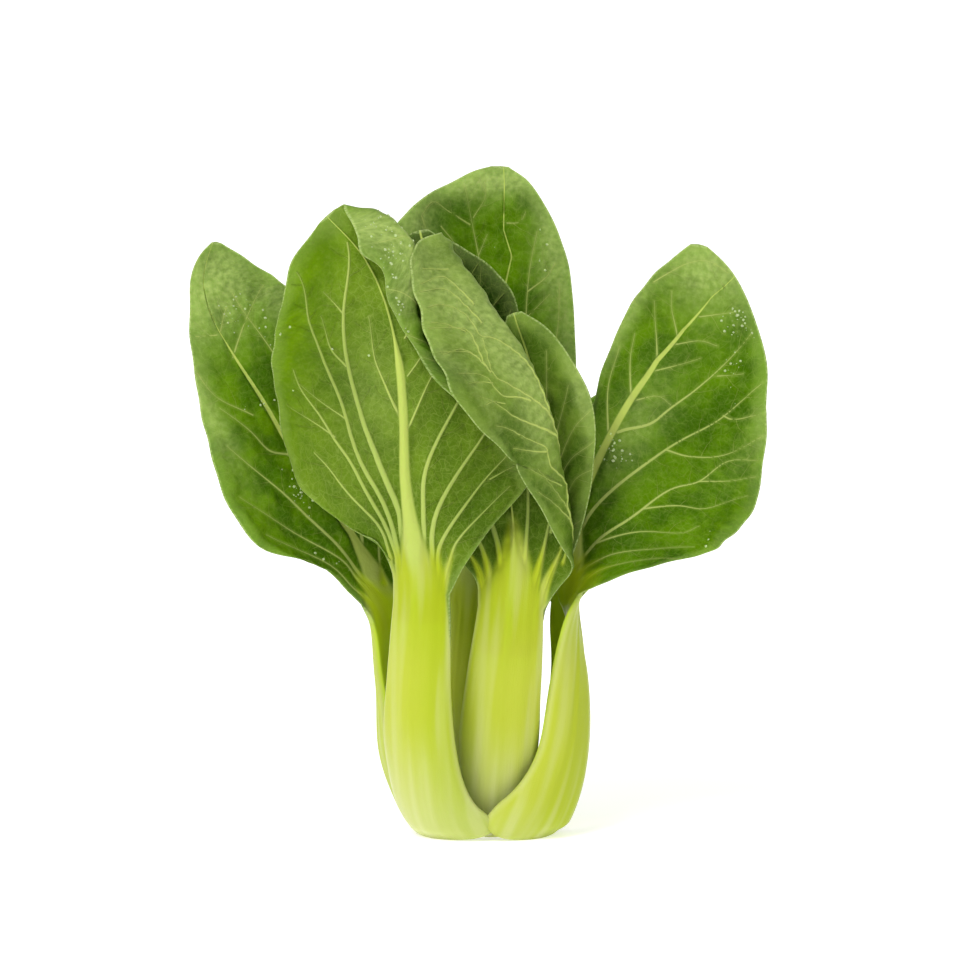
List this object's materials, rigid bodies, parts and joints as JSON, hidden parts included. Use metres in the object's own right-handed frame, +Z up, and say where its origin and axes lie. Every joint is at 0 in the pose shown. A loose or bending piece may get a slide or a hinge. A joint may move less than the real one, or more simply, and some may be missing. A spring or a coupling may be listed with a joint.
{
  "type": "bok choy",
  "caption": "Whole head of bok choy standing on its trimmed base: spoon-shaped pale stalks round a heart, with broad, cupped and partly folded green blades.",
  "frame": {"origin": "centre of the cut stem's flat underside, on the surface that the head stands on", "axes": "+Z up through the heart to the leaf tips; -Y towards the viewer of the picture; +X to the viewer's right"},
  "size_m": [0.1753, 0.0907, 0.1947],
  "materials": {
    "stem_butt": "matte, moist cut tissue",
    "outer_stalk": "smooth, waxy satin",
    "inner_stalk": "smooth, waxy satin",
    "blade_dark": "semi-gloss leaf, inner face",
    "blade_olive": "matte leaf, outer face",
    "blade_grey": "waxy leaf with a soft sheen",
    "blade_young": "soft satin"
  },
  "bodies": {
    "root": {"stem_butt": "stem_butt", "stalk_front_left": "outer_stalk", "blade_front_left": "blade_olive", "stalk_front": "outer_stalk", "blade_front": "blade_grey", "stalk_right": "outer_stalk", "blade_right": "blade_dark", "stalk_back_right": "outer_stalk", "blade_back_right": "blade_dark", "stalk_back": "outer_stalk", "blade_back": "blade_dark", "stalk_back_left": "outer_stalk", "blade_back_left": "blade_dark", "stalk_left": "outer_stalk", "blade_left": "blade_dark", "stalk_inner_right": "inner_stalk", "blade_inner_right": "blade_grey", "stalk_inner_left": "inner_stalk", "blade_inner_left": "blade_dark", "stalk_inner_back": "inner_stalk", "blade_inner_back": "blade_dark", "stalk_heart": "inner_stalk", "blade_heart": "blade_young"}
  },
  "joints": []
}
